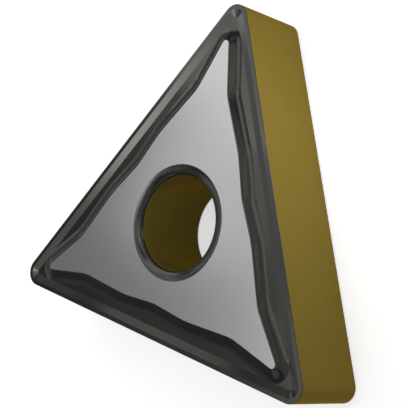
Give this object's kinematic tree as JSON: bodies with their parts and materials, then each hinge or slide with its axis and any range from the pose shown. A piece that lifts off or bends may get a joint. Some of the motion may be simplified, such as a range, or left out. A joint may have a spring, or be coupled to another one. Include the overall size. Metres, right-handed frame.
{
  "type": "indexable cutting insert",
  "caption": "Triangular double-sided turning insert in coated carbide, with a wavy chip breaker, a raised ground seat on each face and a countersunk clamping bore.",
  "frame": {"origin": "centre of the clamping bore, half-way between the two seats", "axes": "+Z along the bore axis towards the upper seat; +Y towards one corner; the flank opposite that corner faces -Y; +X along that flank"},
  "size_m": [0.0208, 0.0182, 0.005],
  "materials": {
    "insert": "satin hard coating: dark on the faces, gold on the flanks and in the bore, ground bright on the seats"
  },
  "bodies": {
    "root": {"insert": "insert"}
  },
  "joints": []
}
